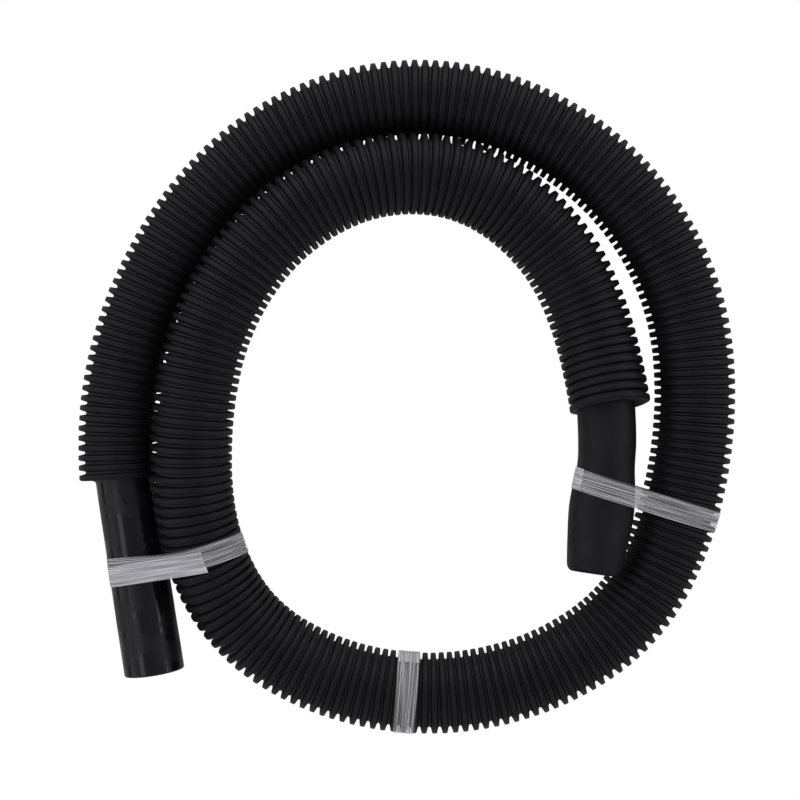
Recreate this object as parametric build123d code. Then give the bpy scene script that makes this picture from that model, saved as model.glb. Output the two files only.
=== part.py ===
from build123d import *
import os
from math import acos, atan2, cos, pi, sin, tan

# A pool vacuum hose, coiled flat and strapped for storage. Millimetres, +Z up, the coil lies on
# the XY plane, and the origin is under the middle of the coil, on the surface that it lies on.

# ---- Driving dimensions ----
HOSE_CREST_R = 25.4  # 2 in outside diameter, over the crests of the rings
HOSE_BORE_R = 21.4  # inside the corrugated wall
CUFF_OUTER_R = 18.7
SOCKET_R = 15.95  # takes a 1 1/4 in (31.75 mm) spigot
STOP_R = 15.0  # the narrower bore behind the socket, which stops the spigot
SOCKET_DEPTH = 46.0
CUFF_RIM_ROUND = 0.9

SEAL_START = 3.0  # how far in from the hose's cut end the sealing ring begins
SEAL_LENGTH = 16.0

TAPE_WIDTH = 13.0
TAPE_BUILD = 0.45  # three layers of strapping tape
TAPE_GAP = 0.15  # between the tape and what it holds
TAPE_LIFT = TAPE_GAP + TAPE_BUILD  # the tape under the hose lifts it off the surface

# ---- The hose's route, from the left cut end to the right one ----
# The outer turn lies on the surface. The inner turn leaves it at the lower left, climbs onto the
# outer turn's inside shoulder, sags at the upper right and rises again to the strapped right cuff.
FLOOR_Z = HOSE_CREST_R + TAPE_LIFT
ROUTE = [
    (-180.7, -51.5, FLOOR_Z),
    (-183.4, -14, FLOOR_Z),
    (-169.4, 50, FLOOR_Z),
    (-138, 111, FLOOR_Z),
    (-92, 158.5, FLOOR_Z),
    (-32, 186, FLOOR_Z),
    (34, 189, FLOOR_Z),
    (97, 166, FLOOR_Z),
    (148, 121, FLOOR_Z),
    (179, 60, FLOOR_Z),
    (185, -8, FLOOR_Z),
    (173.8, -77, FLOOR_Z),
    (145.2, -137.2, FLOOR_Z),
    (90, -175, FLOOR_Z),
    (22.5, -190.5, FLOOR_Z),
    (-46, -180.5, FLOOR_Z),
    (-103.4, -146.5, 29),
    (-131.5, -89, 41),
    (-135, -19, 49),
    (-121.5, 49.5, 50),
    (-83, 106.7, 49),
    (-25, 140, 46),
    (40, 138.6, 41),
    (93.4, 99.5, 34),
    (121.4, 41, 32),
    (128, -6, 41.2),
]

# ---- The cuffs' axes, from the end inside the hose to the open end ----
LEFT_CUFF_ROUTE = [(-183.9, -18.2, 26.0), (-159.7, -174.7, 19.4)]
RIGHT_CUFF_ROUTE = [
    (122.3, 33, 33.6),
    (126, -6, 41.2),
    (125.6, -42.5, 49.3),
    (116.1, -109.5, 55.5),
]

# ---- Where the straps sit ----
# Lengths along the hose from its left cut end.
RIGHT_TAPE_AT = 701.0
BOTTOM_TAPE_AT = 927.5
LEFT_TAPE_AT = 1095.0
# Lengths along the cuffs from their hidden ends.
RIGHT_TAPE_ON_CUFF = 91.0
LEFT_TAPE_ON_CUFF = 89.0
# Headings in degrees from +X.
RIGHT_TAPE_HEADING = -17.2
LEFT_TAPE_HEADING = 13.4
# A strap that crosses a tube aslant meets it in an ellipse, so its loop is this much wider there.
SQUARE_SLACK = 0.1
SLANTED_SLACK = 0.75
VERY_SLANTED_SLACK = 1.25

ARC_SHARE = 0.45  # how much of the shorter run beside a corner its arc takes


def corner_radii(points):
    """The radius of the arc at each inner point of a route."""
    vectors = [Vector(*p) for p in points]
    radii = []
    for before, here, after in zip(vectors, vectors[1:], vectors[2:]):
        run_in, run_out = here - before, after - here
        half_turn = run_in.get_angle(run_out) / 2 * pi / 180
        radii.append(ARC_SHARE * min(run_in.length, run_out.length) / tan(half_turn))
    return radii


def route_wire(points):
    """Straight runs joined by tangent arcs."""
    if len(points) == 2:
        return Wire([Edge.make_line(*points)])
    return FilletPolyline(*points, radius=corner_radii(points)).wire()


def rod(path, radius):
    """A round solid rod along a path."""
    start = Plane(origin=path @ 0, z_dir=path % 0)
    return sweep(start * Circle(radius), path=path)


def tube(path, outer_r, bore_r):
    """A round pipe along a path."""
    start = Plane(origin=path @ 0, z_dir=path % 0)
    return sweep(start * (Circle(outer_r) - Circle(bore_r)), path=path)


def corrugated_hose(path):
    """The hose as a plain pipe of its outside and inside sizes."""
    return tube(path, HOSE_CREST_R, HOSE_BORE_R)


def cuff(path):
    """A smooth soft sleeve with a socket in its open end and a stop behind the socket."""
    body = tube(path, CUFF_OUTER_R, STOP_R)
    mouth = Plane(origin=path @ 1, z_dir=path % 1)
    socket = mouth * Location((0, 0, -SOCKET_DEPTH)) * Cylinder(
        SOCKET_R, SOCKET_DEPTH, align=(Align.CENTER, Align.CENTER, Align.MIN)
    )
    body -= socket
    rim = [e for e in body.edges().filter_by(GeomType.CIRCLE) if at_rim(e, mouth.origin)]
    return fillet(rim, CUFF_RIM_ROUND)


def at_rim(edge, centre):
    """True for a cuff's outer edges at its open end."""
    return abs(edge.radius - CUFF_OUTER_R) < 0.01 and (edge.arc_center - centre).length < 0.1


def seal_ring(hose_end, into_hose, cuff_path):
    """The ring of sealant that fills the space between a cuff and the hose's bore."""
    plane = Plane(origin=hose_end + into_hose * SEAL_START, z_dir=into_hose)
    ring = plane * Cylinder(
        HOSE_BORE_R, SEAL_LENGTH, align=(Align.CENTER, Align.CENTER, Align.MIN)
    )
    return ring - rod(cuff_path, CUFF_OUTER_R)


def axis_at(path, station):
    """A point on a tube's axis and the way the axis runs there."""
    point = path.position_at(station, position_mode=PositionMode.LENGTH)
    return point, path.tangent_at(station, position_mode=PositionMode.LENGTH)


def tape_ring(path, station):
    """A strap round the hose alone, square to it."""
    here, along = axis_at(path, station)
    inner_r = HOSE_CREST_R + TAPE_GAP
    profile = Circle(inner_r + TAPE_BUILD) - Circle(inner_r)
    return extrude(Plane(origin=here, z_dir=along) * profile, TAPE_WIDTH / 2, both=True)


def racetrack(plane, circle_a, circle_b):
    """The outline of a belt round two circles, each a centre in the plane and a radius."""
    (xa, ya, ra), (xb, yb, rb) = circle_a, circle_b
    heading = atan2(yb - ya, xb - xa)
    spread = acos((ra - rb) / ((xb - xa) ** 2 + (yb - ya) ** 2) ** 0.5)

    def on(circle, angle):
        x, y, r = circle
        return plane.from_local_coords(Vector(x + r * cos(angle), y + r * sin(angle), 0))

    a_top, a_back = on(circle_a, heading + spread), on(circle_a, heading + pi)
    a_low, b_low = on(circle_a, heading - spread), on(circle_b, heading - spread)
    b_front, b_top = on(circle_b, heading), on(circle_b, heading + spread)
    return Wire(
        [
            Edge.make_line(a_low, b_low),
            Edge.make_three_point_arc(b_low, b_front, b_top),
            Edge.make_line(b_top, a_top),
            Edge.make_three_point_arc(a_top, a_back, a_low),
        ]
    )


def crossing(plane, axis, radius):
    """Where a tube crosses a plane, as a circle in the plane's own coordinates."""
    point, along = axis
    reach = plane.z_dir.dot(plane.origin - point) / plane.z_dir.dot(along)
    local = plane.to_local_coords(point + along * reach)
    return local.X, local.Y, radius


def tape_belt(hose_axis, hose_slack, cuff_axis, cuff_slack, heading):
    """A strap that binds a cuff to the hose turn beside it."""
    across = Vector(1, 0, 0).rotate(Axis.Z, heading)
    normal = Vector(0, 0, 1).cross(across)

    def loft_through(extra):
        """The solid inside a belt, between the planes of the strap's two edges."""
        outlines = []
        for side in (-TAPE_WIDTH / 2, TAPE_WIDTH / 2):
            plane = Plane(origin=hose_axis[0] + normal * side, x_dir=across, z_dir=normal)
            by_cuff = crossing(plane, cuff_axis, CUFF_OUTER_R + cuff_slack + extra)
            by_hose = crossing(plane, hose_axis, HOSE_CREST_R + hose_slack + extra)
            if by_cuff[0] < by_hose[0]:
                outlines.append(racetrack(plane, by_cuff, by_hose))
            else:
                outlines.append(racetrack(plane, by_hose, by_cuff))
        return Solid.make_loft(outlines, ruled=True)

    return loft_through(TAPE_GAP + TAPE_BUILD) - loft_through(TAPE_GAP)


def save(shape, node):
    """Writes one node and prints its volume."""
    print(node, "volume", round(shape.volume), "mm3")
    export_step(shape, f"parts/{node}.step")


os.makedirs("parts", exist_ok=True)
hose_path = route_wire(ROUTE)
left_cuff_path = route_wire(LEFT_CUFF_ROUTE)
right_cuff_path = route_wire(RIGHT_CUFF_ROUTE)

hose = corrugated_hose(hose_path)
save(hose, "corrugated_hose")
save(cuff(left_cuff_path), "left_cuff")
save(cuff(right_cuff_path), "right_cuff")
save(seal_ring(hose_path @ 0, hose_path % 0, left_cuff_path), "left_seal_ring")
save(seal_ring(hose_path @ 1, -(hose_path % 1), right_cuff_path), "right_seal_ring")
save(tape_ring(hose_path, BOTTOM_TAPE_AT), "bottom_tape")
left_tape = tape_belt(
    axis_at(hose_path, LEFT_TAPE_AT),
    SLANTED_SLACK,
    axis_at(left_cuff_path, LEFT_TAPE_ON_CUFF),
    SQUARE_SLACK,
    LEFT_TAPE_HEADING,
)
save(left_tape, "left_tape")
right_tape = tape_belt(
    axis_at(hose_path, RIGHT_TAPE_AT),
    SQUARE_SLACK,
    axis_at(right_cuff_path, RIGHT_TAPE_ON_CUFF),
    VERY_SLANTED_SLACK,
    RIGHT_TAPE_HEADING,
)
save(right_tape, "right_tape")

for name, points in (("hose", ROUTE), ("right cuff", RIGHT_CUFF_ROUTE)):
    diameters = [round(r / (2 * HOSE_CREST_R), 1) for r in corner_radii(points)]
    print(name, "arc radii in hose diameters:", diameters)
section = pi * (HOSE_CREST_R**2 - HOSE_BORE_R**2)
print("hose length", round(hose_path.length, 1), "mm")
print("hose volume", round(hose.volume), "against section x length", round(section * hose_path.length))
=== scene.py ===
import math

import bpy
import numpy as np
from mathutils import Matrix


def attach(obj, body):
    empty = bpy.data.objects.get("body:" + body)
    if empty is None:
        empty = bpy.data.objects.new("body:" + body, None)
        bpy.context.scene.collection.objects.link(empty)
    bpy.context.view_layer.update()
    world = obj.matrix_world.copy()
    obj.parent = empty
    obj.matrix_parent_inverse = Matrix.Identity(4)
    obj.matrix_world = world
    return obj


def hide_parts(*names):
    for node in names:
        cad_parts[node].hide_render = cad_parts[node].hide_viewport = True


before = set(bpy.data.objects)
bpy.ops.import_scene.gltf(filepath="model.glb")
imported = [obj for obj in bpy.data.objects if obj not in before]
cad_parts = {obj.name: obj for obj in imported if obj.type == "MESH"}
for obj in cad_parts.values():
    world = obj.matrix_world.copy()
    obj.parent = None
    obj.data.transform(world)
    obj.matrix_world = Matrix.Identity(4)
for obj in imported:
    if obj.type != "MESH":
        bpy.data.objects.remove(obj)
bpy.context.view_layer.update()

# A pool vacuum hose, coiled flat and strapped for storage. Metres, in the frame's own place.
UP = np.array([0.0, 0.0, 1.0])

# ---- The hose ----
HOSE_CREST_R = 0.0254
RING_PITCH = 0.0058
AROUND = 48  # points round the hose
# One ring's outside, from the groove before it: distance from the middle of the crest, radius, and
# how far the point keeps to the crest (1) or to the groove (0) where the bend stretches the wall.
RING_OUTSIDE = [
    (-0.00290, 0.02126, 0.0),
    (-0.00240, 0.02132, 0.0),
    (-0.00215, 0.02180, 0.3),
    (-0.00168, 0.02455, 1.0),
    (-0.00146, 0.02518, 1.0),
    (-0.00110, 0.02540, 1.0),
    (0.00110, 0.02540, 1.0),
    (0.00146, 0.02518, 1.0),
    (0.00168, 0.02455, 1.0),
    (0.00215, 0.02180, 0.3),
    (0.00240, 0.02132, 0.0),
]
RING_INSIDE = [
    (-0.00232, 0.02050, 0.0),
    (-0.00090, 0.02440, 1.0),
    (0.00090, 0.02440, 1.0),
    (0.00232, 0.02050, 0.0),
]

FLOOR_Z = 0.026  # the height of the hose's middle where it lies on the floor
# The route's points are those of the CAD model.
ROUTE = [
    (-0.1807, -0.0515, FLOOR_Z),
    (-0.1834, -0.014, FLOOR_Z),
    (-0.1694, 0.050, FLOOR_Z),
    (-0.138, 0.111, FLOOR_Z),
    (-0.092, 0.1585, FLOOR_Z),
    (-0.032, 0.186, FLOOR_Z),
    (0.034, 0.189, FLOOR_Z),
    (0.097, 0.166, FLOOR_Z),
    (0.148, 0.121, FLOOR_Z),
    (0.179, 0.060, FLOOR_Z),
    (0.185, -0.008, FLOOR_Z),
    (0.1738, -0.077, FLOOR_Z),
    (0.1452, -0.1372, FLOOR_Z),
    (0.090, -0.175, FLOOR_Z),
    (0.0225, -0.1905, FLOOR_Z),
    (-0.046, -0.1805, FLOOR_Z),
    (-0.1034, -0.1465, 0.029),
    (-0.1315, -0.089, 0.041),
    (-0.135, -0.019, 0.049),
    (-0.1215, 0.0495, 0.050),
    (-0.083, 0.1067, 0.049),
    (-0.025, 0.140, 0.046),
    (0.040, 0.1386, 0.041),
    (0.0934, 0.0995, 0.034),
    (0.1214, 0.041, 0.032),
    (0.128, -0.006, 0.0412),
]

# ---- The cuffs, from the end inside the hose to the open end ----
# The right one bends 4.6 mm nearer its open end than the CAD cuff, whose whole socket is straight.
CUFF_R = 0.0187
SOCKET_R = 0.01595
STOP_R = 0.0150
SOCKET_DEPTH = 0.046
LEFT_CUFF_ROUTE = [(-0.1830, -0.0182, 0.0260), (-0.1743, -0.0760, 0.0237), (-0.1597, -0.1747, 0.0194)]
RIGHT_CUFF_ROUTE = [
    (0.1223, 0.0330, 0.0336),
    (0.1260, -0.0060, 0.0412),
    (0.1253, -0.0470, 0.0502),
    (0.1161, -0.1095, 0.0555),
]

# ---- The straps ----
TAPE_WIDTH = 0.0132
TAPE_THICK = 0.00014
LAYER_STEP = 0.00018  # how far each lap lies outside the one before it
TAPE_GAP = 0.00012
STRAP_STEPS = 240  # points round one lap
STRAP_REACH = 0.018  # how far to each side of its middle a strap can wander
STRAP_SLICES = 37  # planes across that reach
PRESSED_LAP = 1.96  # from here on a strap's end is pressed down and looks denser


# ---------------------------------------------------------------- lines and meshes


def unit(vectors):
    return vectors / np.linalg.norm(vectors, axis=-1, keepdims=True)


def read_spline(name, route):
    """The points of the smooth NURBS line that has these control points."""
    curve = bpy.data.curves.new(name, "CURVE")
    curve.dimensions = "3D"
    curve.resolution_u = 64
    spline = curve.splines.new("NURBS")
    spline.points.add(len(route) - 1)
    for point, place in zip(spline.points, route):
        point.co = (*place, 1.0)
    spline.order_u = 3
    spline.use_endpoint_u = True
    holder = bpy.data.objects.new(name, curve)
    mesh = bpy.data.meshes.new_from_object(holder)
    points = np.array([vertex.co[:] for vertex in mesh.vertices])
    bpy.data.objects.remove(holder)
    bpy.data.meshes.remove(mesh)
    bpy.data.curves.remove(curve)
    return points


class Line:
    """A smooth line with a level way sideways, a way up and a bend at each point of it."""

    def __init__(self, name, route):
        self.at = read_spline(name, route)
        steps = np.linalg.norm(np.diff(self.at, axis=0), axis=1)
        self.station = np.concatenate([[0.0], np.cumsum(steps)])
        self.length = self.station[-1]
        self.along = unit(np.gradient(self.at, self.station, axis=0))
        self.side = unit(np.cross(self.along, UP))
        self.up = np.cross(self.side, self.along)
        bend = np.gradient(self.along, self.station, axis=0)
        self.bend = np.stack([self.evened(bend[:, k]) for k in range(3)], axis=1)

    def evened(self, values):
        """The values averaged over a short stretch of the line."""
        window = 41
        padded = np.pad(values, window // 2, mode="edge")
        return np.convolve(padded, np.ones(window) / window, mode="valid")

    def read(self, values, stations):
        """What the line's values are at these lengths along it."""
        columns = [np.interp(stations, self.station, values[:, k]) for k in range(3)]
        return np.stack(columns, axis=-1)

    def place(self, stations, sideways, upward):
        """The points at these lengths along the line, that far to its side and above it."""
        on_line = np.clip(stations, 0.0, self.length)
        beyond = (stations - on_line)[..., None]
        at = self.read(self.at, on_line) + beyond * self.read(self.along, on_line)
        at = at + sideways[..., None] * self.read(self.side, on_line)
        return at + upward[..., None] * self.read(self.up, on_line)

    def stretch(self, stations, sideways, upward):
        """How much longer the bend makes the line that far to its side and above it."""
        bend = self.read(self.bend, stations)
        to_side = (bend * self.read(self.side, stations)).sum(axis=-1)
        to_top = (bend * self.read(self.up, stations)).sum(axis=-1)
        return 1.0 - to_side * sideways - to_top * upward


def eased(at, places, values):
    """A smooth value that passes through the given ones."""
    places, values = np.asarray(places, float), np.asarray(values, float)
    slopes = np.gradient(values, places)
    at = np.clip(at, places[0], places[-1])
    index = np.clip(np.searchsorted(places, at, side="right") - 1, 0, len(places) - 2)
    span = places[index + 1] - places[index]
    share = (at - places[index]) / span
    start, end = values[index], values[index + 1]
    rise = share * share * (3.0 - 2.0 * share)
    leave = slopes[index] * share * (1.0 - share) ** 2
    arrive = slopes[index + 1] * share**2 * (share - 1.0)
    return start + rise * (end - start) + span * (leave + arrive)


def loops_mesh(name, loops, ring=False, **marks):
    """A closed mesh through rows of points, each row a closed loop, with values at its points."""
    rows, across = loops.shape[:2]
    number = np.arange(rows * across).reshape(rows, across)
    following = np.roll(number, -1, axis=0) if ring else number[1:]
    here = number if ring else number[:-1]
    quads = np.stack(
        [here, np.roll(here, -1, axis=1), np.roll(following, -1, axis=1), following], axis=-1
    )
    faces = quads.reshape(-1, 4).tolist()
    if not ring:
        faces += [number[0, ::-1].tolist(), number[-1].tolist()]
    mesh = bpy.data.meshes.new(name)
    mesh.from_pydata(loops.reshape(-1, 3).tolist(), [], faces)
    for mark, values in marks.items():
        attribute = mesh.attributes.new(mark, "FLOAT", "POINT")
        attribute.data.foreach_set("value", np.broadcast_to(values, (rows, across)).ravel())
    mesh.shade_smooth()
    mesh.set_sharp_from_angle(angle=math.radians(52))
    piece = bpy.data.objects.new(name, mesh)
    bpy.context.scene.collection.objects.link(piece)
    return piece


def finish_piece(piece, material, slot, *nodes):
    """Gives a piece its material and its place in the frame."""
    piece.data.materials.append(material)
    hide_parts(*nodes)
    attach(piece, "root")
    return piece


# ---------------------------------------------------------------- materials


def new_material(name):
    """A material and the maker of its nodes."""
    material = bpy.data.materials.new(name)
    material.use_nodes = True
    tree = material.node_tree
    shader = tree.nodes["Principled BSDF"]

    def add(kind, inputs=(), **settings):
        node = tree.nodes.new(kind)
        for key, value in settings.items():
            setattr(node, key, value)
        for socket, value in dict(inputs).items():
            if isinstance(value, bpy.types.NodeSocket):
                tree.links.new(value, node.inputs[socket])
            else:
                node.inputs[socket].default_value = value
        return node

    def drive(socket, source):
        tree.links.new(source, shader.inputs[socket])

    return material, shader, add, drive


def object_place(add):
    return add("ShaderNodeTexCoord").outputs["Object"]


def ramp(add, source, stops):
    """A colour ramp of grey or coloured stops."""
    node = add("ShaderNodeValToRGB", {"Fac": source})
    elements = node.color_ramp.elements
    while len(elements) < len(stops):
        elements.new(0.5)
    for element, (place, colour) in zip(elements, stops):
        element.position = place
        element.color = (*colour, 1.0) if isinstance(colour, tuple) else (colour, colour, colour, 1.0)
    return node.outputs["Color"]


def hose_plastic():
    """Black blow-moulded polyethylene, with painted light that colours the roots of its grooves lighter than
    its crests.
    """
    material, shader, add, drive = new_material("hose_plastic")
    place = object_place(add)
    depth = add("ShaderNodeAttribute", attribute_name="crest").outputs["Fac"]
    cloud = add("ShaderNodeTexNoise", {"Vector": place, "Scale": 38.0, "Detail": 4.0}).outputs["Fac"]
    grain = add("ShaderNodeTexNoise", {"Vector": place, "Scale": 1500.0, "Detail": 3.0}).outputs["Fac"]
    # Painted light: the groove roots get a lighter colour than the crests, to lift the shade that falls in
    # them.
    root_to_crest = [
        (0.0, (0.052, 0.052, 0.056)),
        (0.28, (0.022, 0.022, 0.024)),
        (1.0, (0.0065, 0.0065, 0.0078)),
    ]
    painted_groove_light = ramp(add, depth, root_to_crest)
    clouded = {"Value": cloud, "From Min": 0.3, "From Max": 0.7}
    patchy = add("ShaderNodeMapRange", {**clouded, "To Min": 0.8, "To Max": 1.2}).outputs["Result"]
    colour = add("ShaderNodeVectorMath", {0: painted_groove_light, "Scale": patchy}, operation="SCALE")
    drive("Base Color", colour.outputs[0])
    rough = add("ShaderNodeMapRange", {**clouded, "To Min": 0.46, "To Max": 0.58})
    drive("Roughness", rough.outputs["Result"])
    bump = add("ShaderNodeBump", {"Height": grain, "Strength": 0.12, "Distance": 0.0002})
    drive("Normal", bump.outputs["Normal"])
    shader.inputs["Specular IOR Level"].default_value = 0.28
    return material


def cuff_vinyl(name, smooth, rough, tint, specular):
    """Smooth soft vinyl, shinier in patches."""
    material, shader, add, drive = new_material(name)
    place = object_place(add)
    cloud = add("ShaderNodeTexNoise", {"Vector": place, "Scale": 55.0, "Detail": 3.0}).outputs["Fac"]
    drive("Base Color", ramp(add, cloud, [(0.3, tuple(0.85 * c for c in tint)), (0.7, tint)]))
    patch = add(
        "ShaderNodeMapRange",
        {"Value": cloud, "From Min": 0.48, "From Max": 0.54, "To Min": smooth, "To Max": rough},
        interpolation_type="SMOOTHSTEP",
    )
    drive("Roughness", patch.outputs["Result"])
    grain = add("ShaderNodeTexNoise", {"Vector": place, "Scale": 900.0, "Detail": 3.0}).outputs["Fac"]
    bump = add("ShaderNodeBump", {"Height": grain, "Strength": 0.06, "Distance": 0.0002})
    drive("Normal", bump.outputs["Normal"])
    shader.inputs["Specular IOR Level"].default_value = specular
    return material


def sealant():
    """Cured black sealant, uneven and dull."""
    material, shader, add, drive = new_material("sealant")
    place = object_place(add)
    cloud = add("ShaderNodeTexNoise", {"Vector": place, "Scale": 260.0, "Detail": 4.0}).outputs["Fac"]
    drive("Base Color", ramp(add, cloud, [(0.3, 0.012), (0.7, 0.03)]))
    bump = add("ShaderNodeBump", {"Height": cloud, "Strength": 0.6, "Distance": 0.0006})
    drive("Normal", bump.outputs["Normal"])
    shader.inputs["Roughness"].default_value = 0.62
    return material


def strapping_tape():
    """Clear film over pale filaments that run along the tape."""
    material, shader, add, drive = new_material("strapping_tape")
    along = add("ShaderNodeAttribute", attribute_name="along").outputs["Fac"]
    across = add("ShaderNodeAttribute", attribute_name="across").outputs["Fac"]

    def strands(across_scale, along_scale, detail):
        """Noise drawn out along the tape."""
        x = add("ShaderNodeMath", {0: across, 1: across_scale}, operation="MULTIPLY").outputs[0]
        y = add("ShaderNodeMath", {0: along, 1: along_scale}, operation="MULTIPLY").outputs[0]
        vector = add("ShaderNodeCombineXYZ", {"X": x, "Y": y}).outputs["Vector"]
        return add("ShaderNodeTexNoise", {"Vector": vector, "Scale": 1.0, "Detail": detail}).outputs["Fac"]

    groups = strands(900.0, 12.0, 1.0)
    fine = strands(1900.0, 26.0, 0.0)
    mixed = add("ShaderNodeMix", {"Factor": 0.6, "A": groups, "B": fine}).outputs["Result"]
    slant = add("ShaderNodeMath", {0: along, 1: 0.55, 2: across}, operation="MULTIPLY_ADD").outputs[0]
    wave = add("ShaderNodeMath", {0: slant, 1: 7400.0}, operation="MULTIPLY").outputs[0]
    hatch = add("ShaderNodeMath", {0: wave}, operation="SINE").outputs[0]
    woven = add("ShaderNodeMath", {0: hatch, 1: 0.025, 2: mixed}, operation="MULTIPLY_ADD").outputs[0]
    drive("Base Color", ramp(add, woven, [(0.40, (0.60, 0.60, 0.62)), (0.60, (0.94, 0.94, 0.96))]))
    clear = ramp(add, woven, [(0.38, 0.11), (0.52, 0.34), (0.64, 0.64)])
    pressed = add("ShaderNodeAttribute", attribute_name="pressed").outputs["Fac"]
    milky = add("ShaderNodeMath", {0: pressed, 1: 0.43, 2: clear}, operation="MULTIPLY_ADD", use_clamp=True)
    drive("Alpha", milky.outputs[0])
    bump = add("ShaderNodeBump", {"Height": woven, "Strength": 0.4, "Distance": 0.0002})
    drive("Normal", bump.outputs["Normal"])
    shader.inputs["Roughness"].default_value = 0.32
    return material


# ---------------------------------------------------------------- the hose


def angles(count=AROUND):
    return np.linspace(0.0, 2.0 * math.pi, count, endpoint=False)


def ring_rows(line, profile, middles, pitch, unevenness):
    """Rows of points for the rings with these middles, closer together inside a bend."""
    offset, radius, keeps = (np.array(column)[None, :, None] for column in zip(*profile))
    angle = angles()[None, None, :]
    middle = middles[:, None, None]
    radius = radius + 0.0 * middle + unevenness[:, None, None]
    sideways = radius * np.cos(angle)
    upward = radius * np.sin(angle)
    stretch = line.stretch(middle + 0.0 * sideways, sideways, upward)
    from_crest = offset / stretch
    from_groove = np.sign(offset) * (pitch / 2 - (pitch / 2 - np.abs(offset)) / stretch)
    stations = middle + keeps * from_crest + (1.0 - keeps) * from_groove
    rows = line.place(stations, sideways, upward)
    return rows.reshape(-1, AROUND, 3)


def hose_wall(line, material):
    """The corrugated wall, one closed shell. Both its ends are cut just outside a crest."""
    edge = 0.0018
    count = round(line.length / RING_PITCH)
    pitch = (line.length - 2 * edge) / (count - 1)
    middles = edge + np.arange(count) * pitch
    random = np.random.default_rng(7)
    unevenness = random.uniform(-0.00007, 0.00007, count)
    middles[1:-1] += random.uniform(-0.00010, 0.00010, count - 2)
    outside = ring_rows(line, RING_OUTSIDE, middles, pitch, unevenness)
    inside = ring_rows(line, RING_INSIDE, middles, pitch, unevenness)

    def end_row(station, radius):
        angle = angles()
        return line.place(np.full(AROUND, station), radius * np.cos(angle), radius * np.sin(angle))[None]

    def cut(station):
        return [end_row(station, 0.0242), end_row(station, 0.0206)]

    before_crest = 3
    after_crest = 2
    loops = np.concatenate(
        [outside[before_crest:-after_crest]] + cut(line.length) + [inside[-2:0:-1]] + cut(0.0)[::-1]
    )
    crest_out = np.tile([row[2] for row in RING_OUTSIDE], count)[before_crest:-after_crest]
    crest = np.concatenate([crest_out, np.zeros(len(loops) - len(crest_out))])
    piece = loops_mesh("hose_wall", loops, ring=True, crest=crest[:, None])
    return finish_piece(piece, material, "hose_plastic", "corrugated_hose")


# ---------------------------------------------------------------- the cuffs and their seals


def cuff(name, line, half_width, half_height, lip, material, slot, node):
    """A soft sleeve with a socket in its open end. Its half sizes are (places, values) along it."""
    length = line.length
    rim = np.linspace(0.0, math.pi / 2, 5)
    mouth = 0.0005
    stations = [np.linspace(0.0, length - lip, 110), length - lip + lip * np.sin(rim[1:])]
    insets = [np.zeros(110), lip * (1.0 - np.cos(rim[1:]))]
    wall = CUFF_R - SOCKET_R
    stations.append(length - mouth + mouth * np.cos(rim))
    insets.append(wall - mouth + mouth * np.sin(rim))
    deep = np.linspace(length - 0.003, length - SOCKET_DEPTH, 30)
    stations += [deep, [length - SOCKET_DEPTH], np.linspace(length - SOCKET_DEPTH - 0.001, 0.0, 24)]
    insets += [np.full(30, wall), [CUFF_R - STOP_R], np.full(24, CUFF_R - STOP_R)]
    station = np.concatenate(stations)[:, None]
    inset = np.concatenate(insets)[:, None]
    angle = angles(96)[None, :]
    wave = 0.00006 * np.sin(station / 0.0090 + 2.0 * angle) * np.sin(station / 0.0173 + angle)
    width = eased(station, *half_width) - inset + wave
    height = eased(station, *half_height) - inset + wave
    loops = line.place(station + 0.0 * angle, width * np.cos(angle), height * np.sin(angle))
    piece = loops_mesh(name, loops, ring=True)
    return finish_piece(piece, material, slot, node)


def seal(name, hose, hose_end, inward, sleeve, sleeve_station, material, node):
    """Sealant between a cuff and the hose round it, drawn up along the cuff at the front."""
    angle = angles(64)
    depth_outer = np.array([0.0002, 0.0190])
    rows = [
        hose.place(np.full(64, hose_end + inward * d), 0.0206 * np.cos(angle), 0.0206 * np.sin(angle))
        for d in depth_outer
    ]
    # The cuff may point the other way along the same tube, so its side can be the hose's other side.
    facing = np.sign((hose.read(hose.side, hose_end) * sleeve.read(sleeve.side, sleeve_station)).sum())
    for d, r in ((0.0190, CUFF_R), (0.0008, CUFF_R - 0.0001), (0.0016, CUFF_R + 0.0006)):
        around = sleeve.place(
            np.full(64, sleeve_station - d), facing * r * np.cos(angle), r * np.sin(angle)
        )
        rows.append(around)
    piece = loops_mesh(name, np.stack(rows), ring=True)
    return finish_piece(piece, material, "sealant", node)


# ---------------------------------------------------------------- the straps


def skin_near(line, station, half_width, half_height):
    """Rows of points on a tube's skin, from before a strap to after it."""
    stations = station + np.linspace(-0.042, 0.042, 43)[:, None]
    angle = angles(240)[None, :]
    width = eased(stations, *half_width)
    height = eased(stations, *half_height)
    return line.place(stations + 0.0 * angle, width * np.cos(angle), height * np.sin(angle))


def crossing(skin, middle, ways, lateral):
    """Where a tube's skin meets a plane beside the strap's middle plane, as (across, up) points."""
    across, normal = ways
    offset = (skin - middle) @ normal
    if offset[0, 0] > offset[-1, 0]:
        skin, offset = skin[::-1], offset[::-1]
    column = np.arange(offset.shape[1])
    row = (offset > lateral).argmax(axis=0)
    share = (lateral - offset[row - 1, column]) / (offset[row, column] - offset[row - 1, column])
    hit = skin[row - 1, column] * (1.0 - share[:, None]) + skin[row, column] * share[:, None]
    hit = hit - middle
    return np.stack([hit @ across, hit @ UP], axis=1)


def hull(points):
    """The tight outline round some points, clockwise from the leftmost."""
    points = points[np.lexsort((points[:, 1], points[:, 0]))]

    def half(ordered):
        chain = []
        for p in ordered:
            while len(chain) > 1:
                a, b = chain[-2], chain[-1]
                if (b[0] - a[0]) * (p[1] - a[1]) - (b[1] - a[1]) * (p[0] - a[0]) < 0:
                    break
                chain.pop()
            chain.append(p)
        return chain

    return np.array(half(points)[:-1] + half(points[::-1])[:-1])


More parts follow.
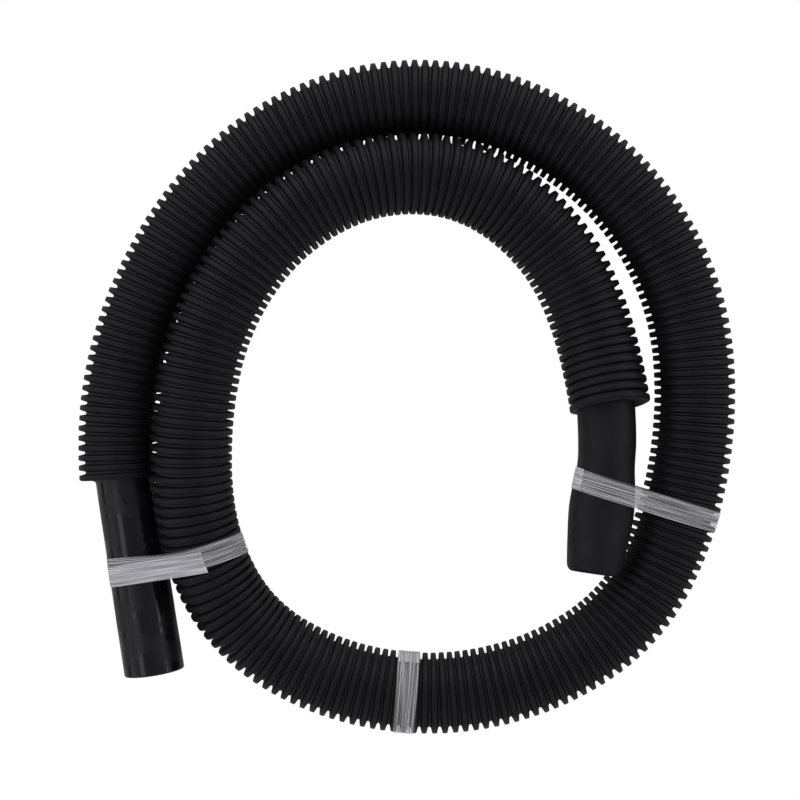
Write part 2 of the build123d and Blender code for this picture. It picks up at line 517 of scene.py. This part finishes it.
def evenly(outline, count):
    """The closed outline again, as points evenly spaced along it."""
    closed = np.concatenate([outline, outline[:1]])
    run = np.concatenate([[0.0], np.cumsum(np.linalg.norm(np.diff(closed, axis=0), axis=1))])
    at = np.linspace(0.0, run[-1], count, endpoint=False)
    return np.stack([np.interp(at, run, closed[:, k]) for k in range(2)], axis=1)


def strap(name, skins, middle, heading, drift, material, node):
    """A strip of tape wound round some tubes. drift is (laps, sideways places) from start to end."""
    middle = np.array([middle[0], middle[1], 0.0])
    heading = math.radians(heading)
    across = np.array([math.cos(heading), math.sin(heading), 0.0])
    ways = across, np.cross(UP, across)
    laterals = np.linspace(-STRAP_REACH, STRAP_REACH, STRAP_SLICES)
    outlines = np.stack(
        [
            evenly(hull(np.concatenate([crossing(skin, middle, ways, t) for skin in skins])), STRAP_STEPS)
            for t in laterals
        ]
    )
    laps, places = drift
    lap = np.arange(round(laps[0] * STRAP_STEPS), round(laps[-1] * STRAP_STEPS) + 1) / STRAP_STEPS
    column = np.linspace(-0.5, 0.5, 9) * TAPE_WIDTH
    lateral = column[None, :] + eased(lap, laps, places)[:, None]
    index = np.round(lap * STRAP_STEPS).astype(int) % STRAP_STEPS
    low = ((lateral - laterals[0]) / (laterals[1] - laterals[0])).astype(int)
    low = np.clip(low, 0, STRAP_SLICES - 2)
    share = (lateral - laterals[low]) / (laterals[1] - laterals[0])

    def blend(values):
        below = values[low, index[:, None]] * (1 - share[..., None])
        above = values[low + 1, index[:, None]] * share[..., None]
        return below + above

    flat = blend(outlines)
    ahead = blend(np.roll(outlines, -1, axis=1)) - blend(np.roll(outlines, 1, axis=1))
    outward = unit(np.stack([-ahead[..., 1], ahead[..., 0]], axis=-1))
    lift = TAPE_GAP + LAYER_STEP * (lap - lap[0])[:, None, None]

    def layer(extra):
        spot = flat + outward * (lift + extra)
        at = middle + spot[..., :1] * across + spot[..., 1:] * UP
        return at + lateral[..., None] * ways[1]

    loops = np.concatenate([layer(TAPE_THICK), layer(0.0)[:, ::-1]], axis=1)
    perimeter = np.linalg.norm(np.diff(outlines[STRAP_SLICES // 2], axis=0), axis=1).sum()
    wide = np.concatenate([column, column[::-1]])[None, :]
    pressed = (lap[:, None] > PRESSED_LAP) * 1.0
    piece = loops_mesh(name, loops, along=(lap * perimeter)[:, None], across=wide, pressed=pressed)
    return finish_piece(piece, material, "strapping_tape", node)


# ---------------------------------------------------------------- the stage


def set_camera():
    """Above the coil, looking straight down, with +Y up the picture."""
    data = bpy.data.cameras.new("camera")
    data.lens = 93.15
    data.sensor_width = 36.0
    camera = bpy.data.objects.new("camera", data)
    camera.location = (-0.0035, -0.0020, 1.3363)
    bpy.context.scene.collection.objects.link(camera)
    bpy.context.scene.camera = camera


def white_when_seen(tree, lighting):
    """Plain white where the camera looks straight at it, and this strength for the light it gives."""
    path = tree.nodes.new("ShaderNodeLightPath")
    pick = tree.nodes.new("ShaderNodeMix")
    tree.links.new(path.outputs["Is Camera Ray"], pick.inputs["Factor"])
    tree.links.new(lighting, pick.inputs["A"])
    pick.inputs["B"].default_value = 1.0
    return pick.outputs["Result"]


def floor():
    """A plain white floor. The light that it gives back fades outwards and in the object's gaps."""
    mesh = bpy.data.meshes.new("floor")
    far = 6.0
    mesh.from_pydata([(-far, -far, 0), (far, -far, 0), (far, far, 0), (-far, far, 0)], [], [(0, 1, 2, 3)])
    sheet = bpy.data.objects.new("floor", mesh)
    bpy.context.scene.collection.objects.link(sheet)
    material, shader, add, drive = new_material("floor_white")
    place = object_place(add)
    away = add("ShaderNodeVectorMath", {0: place}, operation="LENGTH").outputs["Value"]
    glow = add(
        "ShaderNodeMapRange",
        {"Value": away, "From Min": 0.26, "From Max": 0.42, "To Min": 0.45, "To Max": 0.12},
        interpolation_type="SMOOTHSTEP",
    ).outputs["Result"]
    open_sky = add("ShaderNodeAmbientOcclusion", {"Distance": 0.08}, samples=6).outputs["AO"]
    lighting = add("ShaderNodeMath", {0: glow, 1: open_sky}, operation="MULTIPLY").outputs[0]
    drive("Emission Strength", white_when_seen(material.node_tree, lighting))
    shader.inputs["Base Color"].default_value = (0.0, 0.0, 0.0, 1.0)
    shader.inputs["Specular IOR Level"].default_value = 0.0
    shader.inputs["Emission Color"].default_value = (1.0, 1.0, 1.0, 1.0)
    mesh.materials.append(material)


def surroundings():
    """A soft light all round, dimmer straight overhead and brighter behind, in front of a white backdrop."""
    world = bpy.data.worlds.new("room")
    bpy.context.scene.world = world
    world.use_nodes = True
    tree = world.node_tree
    way = tree.nodes.new("ShaderNodeSeparateXYZ")
    tree.links.new(tree.nodes.new("ShaderNodeTexCoord").outputs["Generated"], way.inputs["Vector"])
    height = tree.nodes.new("ShaderNodeValToRGB")
    for place, strength in ((0.20, 0.70), (0.45, 0.50), (0.70, 0.33)):
        height.color_ramp.elements.new(place).color = (strength, strength, strength, 1.0)
    height.color_ramp.elements[0].color = (0.72, 0.72, 0.72, 1.0)
    height.color_ramp.elements[-1].color = (0.22, 0.22, 0.22, 1.0)
    tree.links.new(way.outputs["Z"], height.inputs["Fac"])
    behind = tree.nodes.new("ShaderNodeMapRange")
    behind.inputs["To Min"].default_value = 1.0
    behind.inputs["To Max"].default_value = 2.1
    tree.links.new(way.outputs["Y"], behind.inputs["Value"])
    dome = tree.nodes.new("ShaderNodeMath")
    dome.operation = "MULTIPLY"
    tree.links.new(height.outputs["Color"], dome.inputs[0])
    tree.links.new(behind.outputs["Result"], dome.inputs[1])
    strength = white_when_seen(tree, dome.outputs[0])
    tree.links.new(strength, tree.nodes["Background"].inputs["Strength"])
    tree.nodes["Background"].inputs["Color"].default_value = (1.0, 0.99, 1.05, 1.0)


def panel(name, at, aim, size, power):
    """A soft rectangular light. Its first size is along Y."""
    data = bpy.data.lights.new(name, "AREA")
    data.shape = "RECTANGLE"
    data.size, data.size_y = size
    data.energy = power
    light = bpy.data.objects.new(name, data)
    light.location = at
    light.visible_camera = False
    way = np.array(aim) - np.array(at)
    down = math.acos(-way[2] / np.linalg.norm(way))
    light.rotation_euler = (down, 0.0, math.atan2(way[1], way[0]) - math.pi / 2)
    bpy.context.scene.collection.objects.link(light)


set_camera()
bpy.context.scene.view_settings.view_transform = "Standard"

hose_line = Line("hose_line", ROUTE)
left_line = Line("left_cuff_line", LEFT_CUFF_ROUTE)
right_line = Line("right_cuff_line", RIGHT_CUFF_ROUTE)

hose_piece = hose_wall(hose_line, hose_plastic())
left_cuff_size = ([0.0, 0.034, 0.100, 0.158], [0.0183, 0.0184, 0.0188, 0.0191])
left_cuff = cuff(
    "cuff_left",
    left_line,
    left_cuff_size,
    left_cuff_size,
    0.0006,
    cuff_vinyl("glossy_cuff", 0.13, 0.40, (0.0085, 0.0085, 0.0130), 0.42),
    "glossy_cuff",
    "left_cuff",
)
right_places = [0.0, 0.046, 0.062, 0.077, 0.0915, 0.107, 0.114, 0.1245, 0.1365, 0.1405, 0.1432, 0.1448]
right_widths = [18.7, 18.2, 18.1, 17.9, 19.5, 20.3, 19.9, 18.9, 17.6, 17.1, 16.2, 14.8]
right_heights = [18.7, 18.7, 18.8, 19.0, 17.9, 16.9, 17.3, 18.4, 19.6, 19.7, 19.5, 18.9]
right_widths = [0.001 * value for value in right_widths]
right_heights = [0.001 * value for value in right_heights]
right_cuff = cuff(
    "cuff_right",
    right_line,
    (right_places, right_widths),
    (right_places, right_heights),
    0.0012,
    cuff_vinyl("matt_cuff", 0.50, 0.60, (0.0065, 0.0065, 0.0100), 0.28),
    "matt_cuff",
    "right_cuff",
)

seal_material = sealant()
left_seal = seal("seal_left", hose_line, 0.0, 1.0, left_line, 0.0343, seal_material, "left_seal_ring")
right_seal = seal(
    "seal_right", hose_line, hose_line.length, -1.0, right_line, 0.0395, seal_material, "right_seal_ring"
)

tape = strapping_tape()
crest_size = ([0.0, 1.0], [HOSE_CREST_R, HOSE_CREST_R])
strap(
    "strap_left",
    [
        skin_near(left_line, 0.0905, left_cuff_size, left_cuff_size),
        skin_near(hose_line, 1.0936, crest_size, crest_size),
    ],
    (-0.1249, -0.0957),
    11.8,
    (
        [0.55, 0.8, 1.0, 1.3, 1.5, 1.75, 2.0, 2.34],
        [0.0, -0.0025, 0.0, -0.0034, 0.0, -0.0035, -0.0047, -0.0062],
    ),
    tape,
    "left_tape",
)
strap(
    "strap_right",
    [
        skin_near(right_line, 0.0910, (right_places, right_widths), (right_places, right_heights)),
        skin_near(hose_line, 0.7000, crest_size, crest_size),
    ],
    (0.1719, -0.0715),
    -17.4,
    ([0.6, 1.0, 1.5, 2.05], [0.0005, 0.0, 0.0, 0.0004]),
    tape,
    "right_tape",
)
strap(
    "strap_bottom",
    [skin_near(hose_line, 0.9265, crest_size, crest_size)],
    (0.0005, -0.1867),
    -94.0,
    ([0.7, 1.0, 1.5, 2.1], [0.0003, 0.0, -0.0002, 0.0004]),
    tape,
    "bottom_tape",
)

floor()
surroundings()
panel("left_panel", (-1.10, -0.2, 1.3), (-0.16, -0.1, 0.03), (1.2, 0.50), 1.9)
panel("right_panel", (1.70, -0.1, 1.15), (-0.16, -0.1, 0.03), (1.0, 0.14), 1.0)
